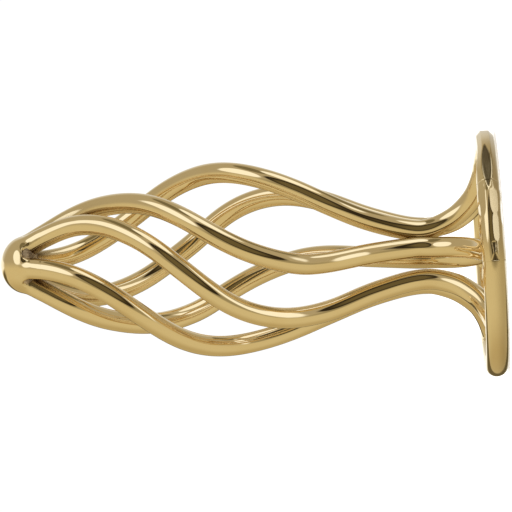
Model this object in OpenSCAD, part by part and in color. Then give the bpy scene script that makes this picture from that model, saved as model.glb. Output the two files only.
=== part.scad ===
/* [Rods] */
// Diameter of the round bar that the cage is made of
bar_d = 4; // [3.5:0.1:4.2]
// Number of twisted rods in the cage
rod_count = 6; // [6]
// Angle by which the finished cage leans off the ring's own axis, towards +X
lean = 2; // [0:0.5:2.5]

/* [Foot ring] */
// Diameter of the foot ring's thicker bar
ring_bar_d = 4.4; // [4:0.1:4.6]
// Radius of the foot ring's centreline
ring_r = 21.4; // [21:0.2:22.6]
// Height taken off the underside of the ring by grinding it flat to stand on
land_depth = 0.1; // [0.05:0.05:0.3]
// Where the closing weld starts, as an angle from -Y towards +X
closing_start = -4; // [-10:1:0]
// Angle taken up by the ring's ends where they are welded and ground by hand
closing_angle = 40; // [20:1:50]
// Extra radius of the closing weld over the bar
closing_proud = 0.1; // [0.05:0.05:0.2]

/* [Nose] */
// Height of the nose's tip above the surface that the ring stands on
nose_top = 95.1; // [94.9:0.1:95.3]
// Radius of the domed nose at its rim
dome_r = 5.6; // [5.4:0.1:5.8]
// Depth of the dome from its tip to its open rim
dome_depth = 4.8; // [4.6:0.1:5]
// Thickness of the dome's wall at its rim
dome_wall = 1.6; // [1.2:0.1:2]
// Radius of the rough weld metal inside the nose
core_r = 3.4; // [3:0.1:3.6]
// Length of the rough weld metal
core_length = 6; // [5:0.5:7]

/* [Ring welds] */
// Radius of the weld collar where a rod meets the ring
collar_r = 2.5; // [2.3:0.1:2.6]
// Length of a weld collar along its rod
collar_length = 1.8; // [1.4:0.1:2]

/* [Hidden] */
bar_r = bar_d / 2;
ring_bar_r = ring_bar_d / 2;
ring_z = ring_bar_r - land_depth;
// Distance of the rough weld metal's top below the nose's tip
core_top = 2;
gold = [0.80, 0.65, 0.36];
dull_gold = [0.55, 0.45, 0.32];
$fn = 96;

// Sides of a rod's section, and rings made between two stations of its path
rod_sides = 12;
rings_per_station = 5;

// One rod's path from the nose to the ring: [height over the ring's centreline, distance from the
// cage's axis, turn round it]
rod_path = [
    [89, 3, 112],
    [84, 6, 111],
    [77.5, 9.3, 101],
    [67.5, 13, 73],
    [58.5, 15.6, 46],
    [49.5, 16.6, 22],
    [40.5, 15.5, 7],
    [31.5, 12.4, -1],
    [22.5, 8.4, 0],
    [13.5, 6, 4],
    [7.5, 7.6, 6],
    [3.5, 11.2, 5],
    [1.5, 15, 4],
    [0, 20, 5]
];

// Heights at which each hand-formed rod strays from an even spacing, and by how many degrees
stray_heights = [0, 13.5, 35.5, 55.5, 71.5, 87.5];
rod_strays = [
    [-4, 10, -7, -13, -14, -8],
    [0, -15, 2, 5, 5, 0],
    [12, -3, 1, 8, 4, 0],
    [-4, 3, -1, -2, -10, -2],
    [-14, 4, 3, -4, 1, -2],
    [11, 4, 6, 7, 10, 11]
];

rod_names = [for (i = [1:rod_count]) str("rod_", i)];
weld_names = [for (i = [1:rod_count]) str("ring_weld_", i)];

// Point on a smooth curve through b and c, at t from 0 to 1, with a and d as its neighbours
function curve(a, b, c, d, t) =
    (2 * b + (c - a) * t + (2 * a - 5 * b + 4 * c - d) * t * t
    + (3 * b - a - 3 * c + d) * t * t * t) / 2;

// The rod path with a point added beyond each end, so that the curve runs through the end stations
last = len(rod_path) - 1;
path_ends = concat(
    [2 * rod_path[0] - rod_path[1]],
    rod_path,
    [2 * rod_path[last] - rod_path[last - 1]]
);
smooth_path = concat(
    [for (i = [1:last], j = [0:rings_per_station - 1])
        curve(path_ends[i - 1], path_ends[i], path_ends[i + 1], path_ends[i + 2], j / rings_per_station)],
    [rod_path[last]]
);

// Turn of rod i at height h over the ring's centreline, counted from -Y towards +X
function rod_turn(i, h, turn) = turn + 360 / rod_count * i + lookup(h, stray_table(i));
function stray_table(i) = [for (k = [0:len(stray_heights) - 1]) [stray_heights[k], rod_strays[i][k]]];

// Centreline of rod i in the part's own frame
function rod_line(i) = [
    for (p = smooth_path)
        let (a = rod_turn(i, p[0], p[2]))
        [p[1] * sin(a) + p[0] * tan(lean), -p[1] * cos(a), p[0] + ring_z]
];

function unit(v) = v / norm(v);

// Direction of a line at its point k
function heading(line, k) = unit(line[min(k + 1, len(line) - 1)] - line[max(k - 1, 0)]);

// Corner radius of a flat-sided section that has the area of a round one of radius r
function corner_r(r, sides) = r * sqrt(2 * PI / sides / sin(360 / sides));

// A round bar along a line: its sides are set out from the cage's axis, so the section doesn't spin
module bar(line, r, sides) {
    n = len(line);
    edge = corner_r(r, sides);
    rings = [
        for (k = [0:n - 1])
            let (
                t = heading(line, k),
                out = unit([line[k][0], line[k][1], 0]),
                u = unit(out - (out * t) * t),
                v = cross(t, u)
            )
            for (s = [0:sides - 1])
                line[k] + edge * (cos(360 * s / sides) * u + sin(360 * s / sides) * v)
    ];
    walls = [
        for (k = [0:n - 2], s = [0:sides - 1])
            let (a = k * sides + s, b = k * sides + (s + 1) % sides)
            [a, a + sides, b + sides, b]
    ];
    first_cap = [for (s = [0:sides - 1]) s];
    last_cap = [for (s = [sides - 1:-1:0]) (n - 1) * sides + s];
    polyhedron(points = rings, faces = concat(walls, [first_cap, last_cap]), convexity = 6);
}

// One twisted rod of the cage
module rod(i) {
    color(gold) bar(rod_line(i), bar_r, rod_sides);
}

// The collar of weld metal round a rod's end, thickest against the ring
module ring_weld(i) {
    line = rod_line(i);
    end = line[len(line) - 1];
    back = -heading(line, len(line) - 1);
    color(gold)
    translate(end + back * bar_r / 2)
    rotate([0, acos(back[2]), atan2(back[1], back[0])])
    rotate_extrude()
    polygon([[bar_r - 0.1, 0], [collar_r, 0], [bar_r - 0.1, collar_length]]);
}

// A length of the ring's bar from one angle to another, ground flat underneath
module ring_bar(r, from, to) {
    difference() {
        translate([0, 0, ring_z])
        rotate([0, 0, from - 90])
        rotate_extrude(angle = to - from)
        translate([ring_r, 0])
        circle(r);
        translate([0, 0, -ring_bar_d]) cylinder(h = ring_bar_d, r = ring_r + ring_bar_d);
    }
}

// The foot ring: one bar bent round until its ends nearly meet
module foot_ring() {
    color(gold) ring_bar(ring_bar_r, closing_start + closing_angle, closing_start + 360);
}

// The butt weld that closes the ring, ground off a little proud of the bar
module ring_closing_weld() {
    color(gold) ring_bar(ring_bar_r + closing_proud, closing_start, closing_start + closing_angle);
}

// Stands a shape on the cage's leaning axis, with its own origin at the nose's tip
module at_nose() {
    translate([(nose_top - ring_z) * tan(lean), 0, nose_top])
    rotate([0, lean, 0])
    children();
}

// The rods' ends, fused together and ground to a dome that is hollow behind its rim
module nose_dome() {
    color(gold)
    at_nose()
    rotate_extrude()
    difference() {
        intersection() {
            translate([0, -dome_depth]) scale([1, dome_depth / dome_r]) circle(dome_r);
            translate([0, -dome_depth]) square([dome_r, dome_depth]);
        }
        translate([0, -dome_depth]) scale([1, 0.6]) circle(dome_r - dome_wall);
    }
}

// The rough weld metal between the rods, left as it set
module nose_core() {
    color(dull_gold)
    at_nose()
    rotate_extrude()
    intersection() {
        translate([0, -core_top - core_length / 2]) scale([1, core_length / 2 / core_r]) circle(core_r);
        translate([0, -core_top - core_length]) square([core_r, core_length]);
    }
}

rod(0);  // rod_1
rod(1);  // rod_2
rod(2);  // rod_3
rod(3);  // rod_4
rod(4);  // rod_5
rod(5);  // rod_6
ring_weld(0);  // ring_weld_1
ring_weld(1);  // ring_weld_2
ring_weld(2);  // ring_weld_3
ring_weld(3);  // ring_weld_4
ring_weld(4);  // ring_weld_5
ring_weld(5);  // ring_weld_6
foot_ring();
ring_closing_weld();
nose_dome();
nose_core();
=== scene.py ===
import itertools
import math

import bmesh
import bpy
import numpy as np
from mathutils import Matrix, Vector


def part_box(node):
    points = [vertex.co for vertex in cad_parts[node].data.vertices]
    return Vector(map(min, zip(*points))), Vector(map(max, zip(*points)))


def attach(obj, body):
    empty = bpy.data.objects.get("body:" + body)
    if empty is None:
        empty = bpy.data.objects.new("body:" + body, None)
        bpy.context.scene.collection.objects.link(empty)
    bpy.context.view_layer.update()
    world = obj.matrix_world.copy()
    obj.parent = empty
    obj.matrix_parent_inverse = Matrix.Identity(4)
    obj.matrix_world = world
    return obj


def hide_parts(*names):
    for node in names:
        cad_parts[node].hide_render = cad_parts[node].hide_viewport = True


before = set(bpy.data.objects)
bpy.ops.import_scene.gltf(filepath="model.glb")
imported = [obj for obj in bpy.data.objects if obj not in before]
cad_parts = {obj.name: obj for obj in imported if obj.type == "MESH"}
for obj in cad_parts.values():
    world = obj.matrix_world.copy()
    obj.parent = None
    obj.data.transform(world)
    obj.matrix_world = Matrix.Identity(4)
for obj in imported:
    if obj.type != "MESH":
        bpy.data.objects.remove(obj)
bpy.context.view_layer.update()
mm = 0.001

# ---------------------------------------------------------------------------------------------
# Camera. A long lens aimed square at the middle of the object, lying on its side so that the
# nose points left, and turned a little so that the cage lies nearly straight across.

camera = bpy.data.objects.new("camera", bpy.data.cameras.new("camera"))
bpy.context.scene.collection.objects.link(camera)
bpy.context.scene.camera = camera
view_width = 97.3 * mm
view_distance = 1.35
camera.data.lens = camera.data.sensor_width * view_distance / view_width
camera.data.clip_start = 0.1
aim = Vector((2.1 * mm, 0, 46.6 * mm))
image_turn = math.radians(3.5)
image_up = Vector((math.cos(image_turn), 0, -math.sin(image_turn)))
towards_camera = Vector((0, -1, 0))
camera.matrix_world = Matrix.Translation(aim + towards_camera * view_distance) @ Matrix(
    (image_up.cross(towards_camera), image_up, towards_camera)).transposed().to_4x4()


# ---------------------------------------------------------------------------------------------
# Shader graphs, for the studio and every finish. A wire is one output of a node, and sums on
# wires add the Math nodes; colours and vectors go through nodes of their own.

class Wire:
    """An output of a shader node that Python sums work on."""

    def __init__(self, graph, socket):
        self.graph = graph
        self.socket = socket

    def __add__(self, other):
        return self.graph.maths("ADD", self, other)

    def __sub__(self, other):
        return self.graph.maths("SUBTRACT", self, other)

    def __rsub__(self, other):
        return self.graph.maths("SUBTRACT", other, self)

    def __mul__(self, other):
        return self.graph.maths("MULTIPLY", self, other)

    def __truediv__(self, other):
        return self.graph.maths("DIVIDE", self, other)

    __radd__ = __add__
    __rmul__ = __mul__


class Graph:
    """The nodes of one material, or of the world."""

    def __init__(self, owner):
        owner.use_nodes = True
        self.tree = owner.node_tree
        self.tree.nodes.clear()

    def add(self, kind, settings=None, inputs=None, output=0):
        """Adds a node: its settings first, then its inputs' values or wires."""
        node = self.tree.nodes.new(kind)
        for name, value in (settings or {}).items():
            setattr(node, name, value)
        for name, value in (inputs or {}).items():
            if isinstance(value, Wire):
                self.tree.links.new(value.socket, node.inputs[name])
            else:
                node.inputs[name].default_value = value
        return Wire(self, node.outputs[output]) if len(node.outputs) else None

    def maths(self, operation, *values):
        """One Math node."""
        return self.add("ShaderNodeMath", {"operation": operation}, dict(enumerate(values)))

    def step(self, value, start, end):
        """0 before start and 1 after end, turning smoothly between them."""
        return self.add("ShaderNodeMapRange", {"interpolation_type": "SMOOTHSTEP"},
                        {"Value": value, "From Min": start, "From Max": end})

    def mix(self, amount, first, second):
        """A colour between two others."""
        first, second = (c if isinstance(c, Wire) else (*c, 1) for c in (first, second))
        return self.add("ShaderNodeMix", {"data_type": "RGBA"}, {0: amount, 6: first, 7: second}, 2)


# ---------------------------------------------------------------------------------------------
# Studio. Polished metal shows only what stands round it, so the room is laid out on a flat map
# centred on the camera's side: degrees across it towards -Z, and degrees up it towards +X. A
# tent over a warm table has a dark opening in it with bright panels round it, and two strips behind.

bright = (1.12, 1.12, 1.06)
warm_table, far_table = (0.67, 0.58, 0.35), (0.52, 0.42, 0.22)
tent_wall, backdrop = (0.46, 0.40, 0.27), (0.70, 0.68, 0.62)
opening, opening_edge, shade = (0.14, 0.11, 0.05), (0.03, 0.022, 0.012), (0.17, 0.14, 0.07)
plain_light = 1.05

bpy.context.scene.view_settings.view_transform = "Standard"
world = bpy.data.worlds.new("studio")
bpy.context.scene.world = world
studio = Graph(world)
split = studio.add("ShaderNodeSeparateXYZ", inputs={0: studio.add("ShaderNodeTexCoord")})
to_x, to_y, to_z = (Wire(studio, out) for out in split.socket.node.outputs)
off_centre = studio.maths("ARCCOSINE", 0 - to_y) * math.degrees(1)
spread = off_centre / studio.maths("SQRT", to_x * to_x + to_z * to_z + 0.00001)
across, above = (0 - to_z) * spread, to_x * spread


def oval(middle, size, edge):
    """An oval on the map, by its middle and half size in degrees; edge is its blur, 0 to 1."""
    x, y = (across - middle[0]) / size[0], (above - middle[1]) / size[1]
    return 1 - studio.step(studio.maths("SQRT", x * x + y * y), 1 - edge, 1 + edge)


def strip(middle, half, edge):
    """An upright strip on the wall behind: degrees round Z from straight behind towards +X."""
    off = studio.maths("ABSOLUTE", studio.maths("ARCTAN2", to_x, to_y) * math.degrees(1) - middle)
    high_enough = studio.step(studio.maths("ABSOLUTE", to_z), 0.9, 0.7)
    return (1 - studio.step(off, half - edge, half + edge)) * high_enough


room = studio.mix(studio.step(above, -110, -50), far_table, warm_table)
room = studio.mix(studio.step(above, -15, 25), room, tent_wall)
room = studio.mix(studio.step(off_centre, 118, 150) * studio.step(above, -20, 30), room, backdrop)
for middle, half, colour in ((-18, 9, opening), (2, 8, bright)):
    room = studio.mix(strip(middle, half, 2), room, colour)
for middle, size, edge, amount, colour in (
        ((5, 2), (42, 16), 0.25, 0.6, shade),           # in front of the table's edge
        ((-18, 84), (14, 24), 0.10, 0.9, shade),        # gap left of the top panel
        ((58, 90), (12, 22), 0.12, 0.9, shade),         # gap right of the top panel
        ((49, 34), (6, 34), 0.20, 1, bright),           # narrow right panel
        ((-46, 36), (18, 27), 0.10, 1, bright),         # left panel
        ((16, 80), (22, 19), 0.07, 1, bright),          # top panel
        ((6, 24), (31, 32), 0.07, 1, opening_edge),     # rim of the opening
        ((4, 22), (22, 22), 0.30, 1, opening)):         # the opening
    room = studio.mix(oval(middle, size, edge) * amount, room, colour)
seen = studio.add("ShaderNodeLightPath")
glossy = Wire(studio, seen.socket.node.outputs["Is Glossy Ray"])
plain = studio.add("ShaderNodeBackground", inputs={"Color": (1, 1, 1, 1), "Strength": plain_light})
reflected = studio.add("ShaderNodeBackground", inputs={"Color": room, "Strength": 1.0})
either = studio.add("ShaderNodeMixShader", inputs={0: glossy, 1: plain, 2: reflected})
studio.add("ShaderNodeOutputWorld", inputs={"Surface": either})

floor_r, floor_drop, paper_lift = 0.6, 0.05 * mm, 0.55
floor_mesh = bmesh.new()
bmesh.ops.create_circle(floor_mesh, cap_ends=True, segments=128, radius=floor_r)
floor = bpy.data.objects.new("floor", bpy.data.meshes.new("floor"))
floor_mesh.to_mesh(floor.data)
floor_mesh.free()
floor.location.z = -floor_drop
bpy.context.scene.collection.objects.link(floor)
floor.visible_glossy = False
paper = bpy.data.materials.new("pale_paper")
paper_graph = Graph(paper)
matt = paper_graph.add("ShaderNodeBsdfDiffuse", inputs={"Color": (0.93, 0.93, 0.92, 1)})
lift = paper_graph.add("ShaderNodeEmission", inputs={"Color": (1, 1, 1, 1), "Strength": paper_lift})
paper_graph.add("ShaderNodeOutputMaterial", inputs={
    "Surface": paper_graph.add("ShaderNodeAddShader", inputs={0: matt, 1: lift})})
floor.data.materials.append(paper)


# ---------------------------------------------------------------------------------------------
# Rods. Six round bars, bent by hand to the same curve, so no two are quite alike. Each is swept
# along the middle of its own CAD rod and keeps the bar's round section.

bar_r = 2.0 * mm
rod_sides = 24


def sections_of(node):
    """The middles of a CAD rod's flat-sided sections, from the nose down."""
    shape = bmesh.new()
    shape.from_mesh(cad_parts[node].data)
    bmesh.ops.remove_doubles(shape, verts=shape.verts, dist=0.001 * mm)
    square_end = math.radians(60)
    rims = [v for e in shape.edges if e.is_manifold and e.calc_face_angle() > square_end
            for v in e.verts]
    top = max(v.co.z for v in rims)
    section = {v for v in rims if v.co.z > top - 3 * bar_r}
    passed = set(section)
    middles = []
    while section:
        middles.append(sum((v.co for v in section), Vector()) / len(section))
        section = {e.other_vert(v) for v in section for e in v.link_edges} - passed
        passed |= section
    shape.free()
    return [np.array(m) for m in middles]


def unit(vector):
    return vector / np.linalg.norm(vector)


def frames_along(line):
    """A middle and two cross directions at each point of a line, carried along without spinning."""
    made = []
    across = unit(line[0] * [1, 1, 0])
    for k, point in enumerate(line):
        ahead = unit(line[min(k + 1, len(line) - 1)] - line[max(k - 1, 0)])
        across = unit(across - ahead * (across @ ahead))
        made.append((point, across, np.cross(ahead, across)))
    return made


def swept(name, frames, sides, reach):
    """A closed bar through the frames: reach(k, angle) is how far its skin is from its middle."""
    shape = bmesh.new()
    rings = []
    for k, (middle, across, beside) in enumerate(frames):
        ring = []
        for s in range(sides):
            angle = 2 * math.pi * s / sides
            out = math.cos(angle) * across + math.sin(angle) * beside
            ring.append(shape.verts.new(middle + reach(k, angle) * out))
        rings.append(ring)
    for ring, ahead in zip(rings, rings[1:]):
        for s in range(sides):
            n = (s + 1) % sides
            shape.faces.new((ring[s], ring[n], ahead[n], ahead[s]))
    for ring, order in ((rings[0], -1), (rings[-1], 1)):
        shape.faces.new(ring[::order])
    mesh = bpy.data.meshes.new(name)
    shape.normal_update()
    shape.to_mesh(mesh)
    shape.free()
    steps = [np.linalg.norm(b[0] - a[0]) for a, b in zip(frames, frames[1:])]
    run = mesh.attributes.new("along", "FLOAT", "POINT")
    run.data.foreach_set("value", np.repeat(np.cumsum([0] + steps), sides))
    return placed(name, mesh)


def placed(name, mesh):
    """Puts a mesh in the scene as a smooth-shaded piece on the one rigid body."""
    for face in mesh.polygons:
        face.use_smooth = True
    piece = bpy.data.objects.new(name, mesh)
    bpy.context.scene.collection.objects.link(piece)
    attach(piece, "root")
    return piece


# Heights where the painted shade with scorch in the corners near the nose starts and is full, its dark
# brown colour, and the colour of unground metal
scorch_shade_start, scorch_shade_full = 70 * mm, 88 * mm
scorched_and_shaded, unground = (0.16, 0.10, 0.06), (0.12, 0.09, 0.045)
scratch_depth, hatch_depth, saw_depth = 0.0004, 0.0006, 0.02


def polished(name, colour, roughness, scratch, lumps, unpolished=False):
    """Gold-coloured metal: faint stains, polishing scratches, and tarnish with painted shade in the
    corners, where no wheel reaches.
    """
    material = bpy.data.materials.new(name)
    graph = Graph(material)
    place = graph.add("ShaderNodeTexCoord", output=3)
    stain = graph.add("ShaderNodeTexNoise", inputs={"Vector": place, "Scale": 130, "Detail": 5})
    grit = graph.add("ShaderNodeTexNoise", inputs={"Vector": place, "Scale": 2600, "Detail": 3})
    hollow = graph.add("ShaderNodeTexNoise", inputs={"Vector": place, "Scale": 260, "Detail": 1})

    # Painted shade with tarnish in the corners found by ambient occlusion, and painted shade with scorch
    # in the corners near the nose
    open_air = graph.add("ShaderNodeAmbientOcclusion", {"samples": 6}, {"Distance": 6 * mm}, "AO")
    height = graph.add("ShaderNodeSeparateXYZ", inputs={0: place}, output="Z")
    corner_shade_and_tarnish = 1 - graph.step(open_air + stain * 0.1, 0.30, 0.95)
    scorch_and_shade = corner_shade_and_tarnish * graph.step(height, scorch_shade_start, scorch_shade_full)
    redder = (colour[0] * 0.95, colour[1] * 0.88, colour[2] * 0.76)
    base = graph.mix(graph.step(stain, 0.45, 0.75) * 0.4, colour, redder)
    # Painted shade with tarnish: corners found by ambient occlusion are darkened towards half the redder
    # colour
    base = graph.mix(corner_shade_and_tarnish * 0.6, base, [c * 0.5 for c in redder])
    # Painted shade with scorch: corners near the nose found by ambient occlusion turn dark brown
    base = graph.mix(graph.step(scorch_and_shade, 0.1, 0.7), base, scorched_and_shaded)
    rough = roughness + graph.step(stain, 0.40, 0.80) * 0.03 + grit * scratch + corner_shade_and_tarnish * 0.1 + scorch_and_shade * 0.3

    # Soft lumps from bending, scratches, and in places short hatch marks across the bar
    soft = graph.add("ShaderNodeBump", inputs={"Height": hollow, "Distance": lumps})
    run = graph.add("ShaderNodeAttribute", {"attribute_name": "along"}, output="Fac")
    shift = graph.add("ShaderNodeCombineXYZ", inputs={"X": run * 3600})
    spot = graph.add("ShaderNodeVectorMath", {"operation": "MULTIPLY_ADD"},
                     {0: place, 1: (700, 700, 700), 2: shift})
    hatch = graph.add("ShaderNodeTexNoise", inputs={"Vector": spot, "Scale": 1, "Detail": 2})
    marks = grit * scratch_depth + hatch * hatch_depth * graph.step(stain, 0.42, 0.62)
    if unpolished:
        dull = graph.add("ShaderNodeAttribute", {"attribute_name": "unpolished"}, output="Fac")
        base = graph.mix(dull * 0.92, base, unground)
        rough = rough + dull * 0.32
        marks = marks + dull * grit * saw_depth
    fine = graph.add("ShaderNodeBump", inputs={"Height": marks, "Distance": mm, "Normal": soft})
    metal = graph.add("ShaderNodeBsdfPrincipled", inputs={
        "Base Color": base, "Metallic": 1.0, "Roughness": rough, "Normal": fine})
    graph.add("ShaderNodeOutputMaterial", inputs={"Surface": metal})
    return material


gold_colour = (0.91, 0.765, 0.51)
gold = polished("polished_gold", gold_colour, 0.015, 0.04, 0.02 * mm)
rod_names = sorted(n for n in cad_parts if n.startswith("rod_"))
rod_lines = {name: sections_of(name) for name in rod_names}
for name in rod_names:
    rod = swept(name.replace("rod_", "cage_rod_"), frames_along(rod_lines[name]), rod_sides,
                lambda k, angle: bar_r)
    rounding = rod.modifiers.new("rounding", "SUBSURF")
    rounding.levels = rounding.render_levels = 2
    rod.data.materials.append(gold)
    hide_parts(name)

# ---------------------------------------------------------------------------------------------
# Nose. The rods' ends are fused together, and the lump is ground to a dome. Its rim is left
# crisp between the rods, and runs into each rod with a soft hollow fillet.

lean = math.radians(2)
foot_z = 2.1 * mm
dome_r, dome_depth, dome_wall = 5.6 * mm, 4.8 * mm, 0.7 * mm
rim_depth, rim_sag = 4.2 * mm, 0.9 * mm
root_length, root_points = 10 * mm, 12
nose_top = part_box("nose_dome")[1].z
tip = np.array([(nose_top - foot_z) * math.tan(lean), 0, nose_top])
dome_axis = np.array([math.sin(lean), 0, math.cos(lean)])


def along_nose(points):
    """Distance below the nose's tip, and distance from the nose's axis."""
    away = points - tip
    depth = -away @ dome_axis
    return depth, np.linalg.norm(away + depth[:, None] * dome_axis, axis=1)


def from_line(points, line):
    """Distance of each point from a line of points."""
    nearest = np.full(len(points), np.inf)
    for start, end in zip(line, line[1:]):
        span = end - start
        share = np.clip((points - start) @ span / (span @ span), 0, 1)
        nearest = np.minimum(nearest, np.linalg.norm(points - start - share[:, None] * span, axis=1))
    return nearest


def fused(distances, softness):
    """Joins solids, given by their distances, with a fillet about as wide as softness."""
    least = np.minimum.reduce(distances)
    return least - softness * np.log(sum(np.exp((least - d) / softness) for d in distances))


def smooth(value, start, end):
    """0 before start and 1 after end, turning smoothly between them."""
    share = np.clip((value - start) / (end - start), 0, 1)
    return share * share * (3 - 2 * share)


def egg(depth, radius, middle, half_depth, half_width):
    """Distance from an egg-shaped solid of revolution on the nose's axis."""
    shape = np.hypot((depth - middle) / half_depth, radius / half_width)
    slope = np.hypot((depth - middle) / half_depth ** 2, radius / half_width ** 2)
    return shape * (shape - 1) / np.maximum(slope, 1)


def skin(name, field, low, high, step):
    """A closed mesh where field(points) is zero: one point in each cell that the skin crosses."""
    counts = np.ceil((np.array(high) - low) / step).astype(int) + 1
    ticks = [low[a] + step * np.arange(counts[a]) for a in range(3)]
    grid = np.stack(np.meshgrid(*ticks, indexing="ij"), -1)
    inside = (field(grid.reshape(-1, 3)) < 0).reshape(counts)
    corners = sum(inside[tuple(slice(o, c - 1 + o) for o, c in zip(offset, counts))].astype(int)
                  for offset in itertools.product((0, 1), repeat=3))
    crossed = (corners > 0) & (corners < 8)
    index = np.full(crossed.shape, -1)
    index[crossed] = np.arange(crossed.sum())
    points = grid[:-1, :-1, :-1][crossed] + step / 2
    faces = []
    for a in range(3):
        b, c = (a + 1) % 3, (a + 2) % 3
        ahead = np.moveaxis(inside, (a, b, c), (0, 1, 2))
        cells = np.moveaxis(index, (a, b, c), (0, 1, 2))
        change = ahead[1:, 1:-1, 1:-1].astype(int) - ahead[:-1, 1:-1, 1:-1]
        for sign in (1, -1):
            i, j, k = np.nonzero(change == sign)
            ring = [cells[i, j, k], cells[i, j + 1, k], cells[i, j + 1, k + 1], cells[i, j, k + 1]]
            faces.append(np.stack(ring[::-sign], 1))
    nudge = step / 50
    for _ in range(6):
        height = field(points)
        slope = np.stack([field(points + nudge * axis) - height for axis in np.eye(3)], 1) / nudge
        push = height / np.maximum((slope * slope).sum(1), 0.1)
        points = points - np.clip(push, -step, step)[:, None] * slope
    mesh = bpy.data.meshes.new(name)
    mesh.from_pydata(points.tolist(), [], np.concatenate(faces).tolist())
    mesh.update()
    return placed(name, mesh)


def nose_field(points):
    """The dome's shell and the rods' roots, sunk into the rods where the fillets have run out."""
    depth, radius = along_nose(points)
    roots = [from_line(points, line[:root_points]) - bar_r for line in rod_lines.values()]
    beside_rod = 1 - smooth(np.minimum.reduce(roots), 0, 0.9 * mm)
    shell = np.maximum(egg(depth, radius, dome_depth, dome_depth, dome_r - 0.15 * mm),
                       depth - rim_depth - rim_sag * beside_rod)
    hollow = egg(depth, radius, dome_depth, dome_depth * 0.55, dome_r - dome_wall)
    shell = np.maximum(shell, -hollow)
    sink = 0.05 * mm * smooth(depth, 6.0 * mm, 8.5 * mm) - 0.015 * mm
    return np.maximum(fused([shell] + [root + sink for root in roots], 0.24 * mm), depth - root_length)


skin_step = 0.16 * mm
reach = 9.5 * mm
nose = skin("nose_dome_ground", nose_field, tip - [reach, reach, 11 * mm],
            tip + [reach, reach, 0.4 * mm], skin_step)
nose.data.materials.append(gold)
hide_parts("nose_dome")

# ---------------------------------------------------------------------------------------------
# Nose core. Weld metal run in between the rods from inside, left rough and brown as it set. It
# shows in the slots behind the nose's rim.

core_r, core_top, core_length = 5.2 * mm, 2.2 * mm, 5.0 * mm


def lumps(points, size, seed):
    """Soft lumps between -1 and 1, by summed waves in set directions."""
    dice = np.random.RandomState(seed)
    total = np.zeros(len(points))
    for _ in range(7):
        way = unit(dice.normal(size=3))
        total += np.sin(points @ way * 2 * math.pi / size / dice.uniform(0.7, 1.5) + dice.uniform(0, 7))
    return total / 4


def core_field(points):
    depth, radius = along_nose(points)
    solid = egg(depth, radius, core_top + core_length / 2, core_length / 2, core_r)
    beads = lumps(points, 1.6 * mm, 3) * 0.10 * mm + lumps(points, 0.7 * mm, 8) * 0.04 * mm
    return solid + 0.12 * mm + beads


def as_welded(name, colour):
    """Weld metal that was never ground: dull, brown with oxide, with a few bright beads."""
    material = bpy.data.materials.new(name)
    graph = Graph(material)
    place = graph.add("ShaderNodeTexCoord", output=3)
    scale = graph.add("ShaderNodeTexNoise", inputs={"Vector": place, "Scale": 900, "Detail": 6})
    beads = graph.add("ShaderNodeTexVoronoi", inputs={"Vector": place, "Scale": 1300})
    oxide = graph.mix(graph.step(scale, 0.38, 0.66), (0.27, 0.20, 0.13), colour)
    crust = graph.add("ShaderNodeBump", inputs={
        "Height": scale + beads * 0.5, "Distance": 0.05 * mm, "Strength": 0.8})
    metal = graph.add("ShaderNodeBsdfPrincipled", inputs={
        "Base Color": oxide, "Metallic": 0.85, "Roughness": 0.62 - graph.step(scale, 0.5, 0.8) * 0.3,
        "Normal": crust})
    graph.add("ShaderNodeOutputMaterial", inputs={"Surface": metal})
    return material


core_reach = np.array([core_r, core_r, 0]) * 1.2
core = skin("nose_core_weld", core_field, tip - core_reach - [0, 0, 8.6 * mm],
            tip + core_reach - [0, 0, 3 * mm], skin_step)
core.data.materials.append(as_welded("raw_weld", (0.62, 0.49, 0.33)))
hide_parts("nose_core")

# ---------------------------------------------------------------------------------------------
# Foot ring. A thicker bar bent into a ring by hand, so it isn't quite flat. Beside its closing
# weld a hollow stayed unpolished, and past the hollow the ring was ground narrow.

ring_r, ring_bar_r = 21.4 * mm, 2.2 * mm
weld_start, weld_end = -4, 36
ring_sides = 96
warp = 0.12 * mm
worn_cut = 0.85 * mm
hollow_middle, hollow_half, hollow_width, hollow_depth = 47, 15, 27, 0.22 * mm


def ring_height(turn):
    """Height of the bar's middle: the end of the ring past the weld sits a little high."""
    past_weld = smooth(turn, weld_start, weld_start + 12) * (1 - smooth(turn, 40, 110))
    return foot_z + warp + warp * past_weld


def ring_frame(turn):
    """The bar's middle at an angle from -Y towards +X, its outward direction, and the floor's."""
    angle = math.radians(turn)
    out = np.array([math.sin(angle), -math.cos(angle), 0])
    return ring_r * out + [0, 0, ring_height(turn)], out, np.array([0, 0, -1.0])


def flat(section, facing, distance):
    """How far a ground flat lets the bar reach: it faces an angle, at a distance from the middle."""
    slope = math.cos(section - math.radians(facing))
    return distance / slope if slope > 0.05 else math.inf


def worn_at(turn):
    """How much the stretch past the hollow is ground narrow, 0 to 1."""
    return smooth(turn, 35, 65) * (1 - smooth(turn, 118, 144))


def ring_flats(turn, section):
    """Ring section: round, flat where it stands on the floor, and ground narrow where it is worn."""
    reach = min(ring_bar_r - 0.03 * mm, flat(section, 90, ring_height(turn)))
    for facing, cut in ((-90, worn_cut), (-45, 0.5 * mm), (0, 0.3 * mm), (45, 0.1 * mm)):
        reach = min(reach, flat(section, facing, ring_bar_r - cut * worn_at(turn)))
    return reach


def hollow_at(turn, section):
    """How deep a point lies in the unpolished hollow beside the weld, 0 to 1."""
    width = hollow_width * max(1 - abs((turn - hollow_middle) / hollow_half) ** 2.2, 0)
    if width == 0:
        return 0
    return max(0, 1 - (math.degrees(math.remainder(section, 2 * math.pi)) / width) ** 2)


def ring_reach(turn, section):
    """The ring's skin: its ground section, with the hollow let into it."""
    return ring_flats(turn, section) - hollow_depth * min(hollow_at(turn, section) * 1.6, 1)


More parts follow.
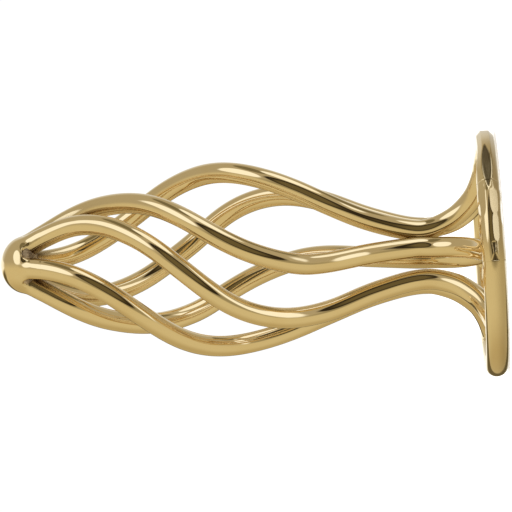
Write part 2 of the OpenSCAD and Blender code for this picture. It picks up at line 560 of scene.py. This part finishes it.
def ring_part(name, turns, reach, rough_at):
    """A length of the ring: reach gives its skin, and rough_at says where it is unpolished."""
    part = swept(name, [ring_frame(t) for t in turns], ring_sides,
                 lambda k, section: reach(turns[k], section))
    mark = part.data.attributes.new("unpolished", "FLOAT", "POINT")
    mark.data.foreach_set("value", [min(1, 3 * rough_at(t, 2 * math.pi * k / ring_sides))
                                    for t in turns for k in range(ring_sides)])
    return part


ring_gold = polished("ground_gold", gold_colour, 0.03, 0.06, 0.02 * mm, unpolished=True)
turns = [*np.arange(weld_end, 80, 0.5), *np.arange(80, 357, 1.5), 360 + weld_start + 0.5]
ring = ring_part("foot_ring_bar", turns, ring_reach, hollow_at)
ring.data.materials.append(ring_gold)
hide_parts("foot_ring")

# ---------------------------------------------------------------------------------------------
# Closing weld. The ring's ends were butted, welded over and ground by hand into a run of small
# flats, not all in line. A pit is left at one end of the joint where the weld didn't fill.

proud = 0.05 * mm
blend_start, blend_end = 30, 33
pit_length, pit_facing, pit_depth = 9, 7, 0.35 * mm

# Each flat: the turn at its middle, half its length in degrees, the section angle that it faces,
# and its distance from the bar's middle in millimetres
weld_flats = [(12, 7, 24, 2.13), (26, 7, 24, 2.05), (20, 6, 84, 2.04), (20, 5, -78, 2.02),
              (27, 9, -40, 2.1)]


def pit_at(turn, section):
    """How deep a point lies in the unfilled pit: an hourglass, widest where the weld starts."""
    along = (turn - weld_start) / pit_length
    width = 4 + 46 * max(0.42 - along, 0) + 16 * max(along - 0.5, 0)
    off = abs(math.degrees(math.remainder(section, 2 * math.pi)) - pit_facing)
    return max(0, 1 - off / width) if 0 < along < 0.98 else 0


def weld_reach(turn, section):
    """The weld's skin: its flats, running into the ring's own section, with the pit let into it."""
    reach = ring_bar_r + proud
    for middle, half, facing, distance in weld_flats:
        lift = ((turn - middle) / half) ** 4 * 0.12
        reach = min(reach, flat(section, facing, (distance + lift) * mm))
    reach = min(reach, flat(section, 90, ring_height(turn)))
    share = smooth(turn, blend_start, blend_end)
    reach = (1 - share) * reach + share * ring_reach(turn, section)
    return reach - pit_depth * min(1, 2 * pit_at(turn, section))


turns = np.arange(weld_start, weld_end + 0.3, 0.4)
closing = ring_part("ring_closing_weld_ground", turns, weld_reach,
                    lambda turn, section: pit_at(turn, section) + hollow_at(turn, section))
closing.data.materials.append(ring_gold)
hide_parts("ring_closing_weld")

# ---------------------------------------------------------------------------------------------
# Ring welds. Each rod's end is laid against the inside of the ring and welded all round, and the
# fillet is ground and polished until the rod runs into the ring.

weld_r, weld_step, end_points = 6 * mm, 0.2 * mm, 14
for number, name in enumerate(rod_names, start=1):
    line = rod_lines[name]
    turn = math.degrees(math.atan2(line[-1][0], -line[-1][1]))
    joint = ring_frame(turn)[0]
    near_ring = [ring_frame(turn + step)[0] for step in range(-20, 21, 4)]
    ground_top = ring_height(turn) + ring_bar_r - worn_cut * worn_at(turn)

    def weld_field(points):
        """The rod's end and the ring near it with a fillet between, sunk in further off."""
        from_rod = from_line(points, line[-end_points:]) - bar_r
        bar = np.maximum(from_line(points, near_ring) - ring_bar_r, points[:, 2] - ground_top)
        off = np.linalg.norm(points - joint, axis=1)
        sink = 0.8 * mm * smooth(from_rod, 0.5 * mm, 1.6 * mm) - 0.02 * mm
        sink += 0.06 * mm * smooth(off, 3.5 * mm, 5.5 * mm)
        return np.maximum(fused([from_rod, bar], 0.22 * mm) + sink, off - weld_r)

    corner_shade_and_tarnish = np.full(3, weld_r + weld_step)
    weld = skin(f"ring_weld_fillet_{number}", weld_field, joint - corner_shade_and_tarnish, joint + corner_shade_and_tarnish, weld_step)
    weld.data.materials.append(gold)
    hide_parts(f"ring_weld_{number}")
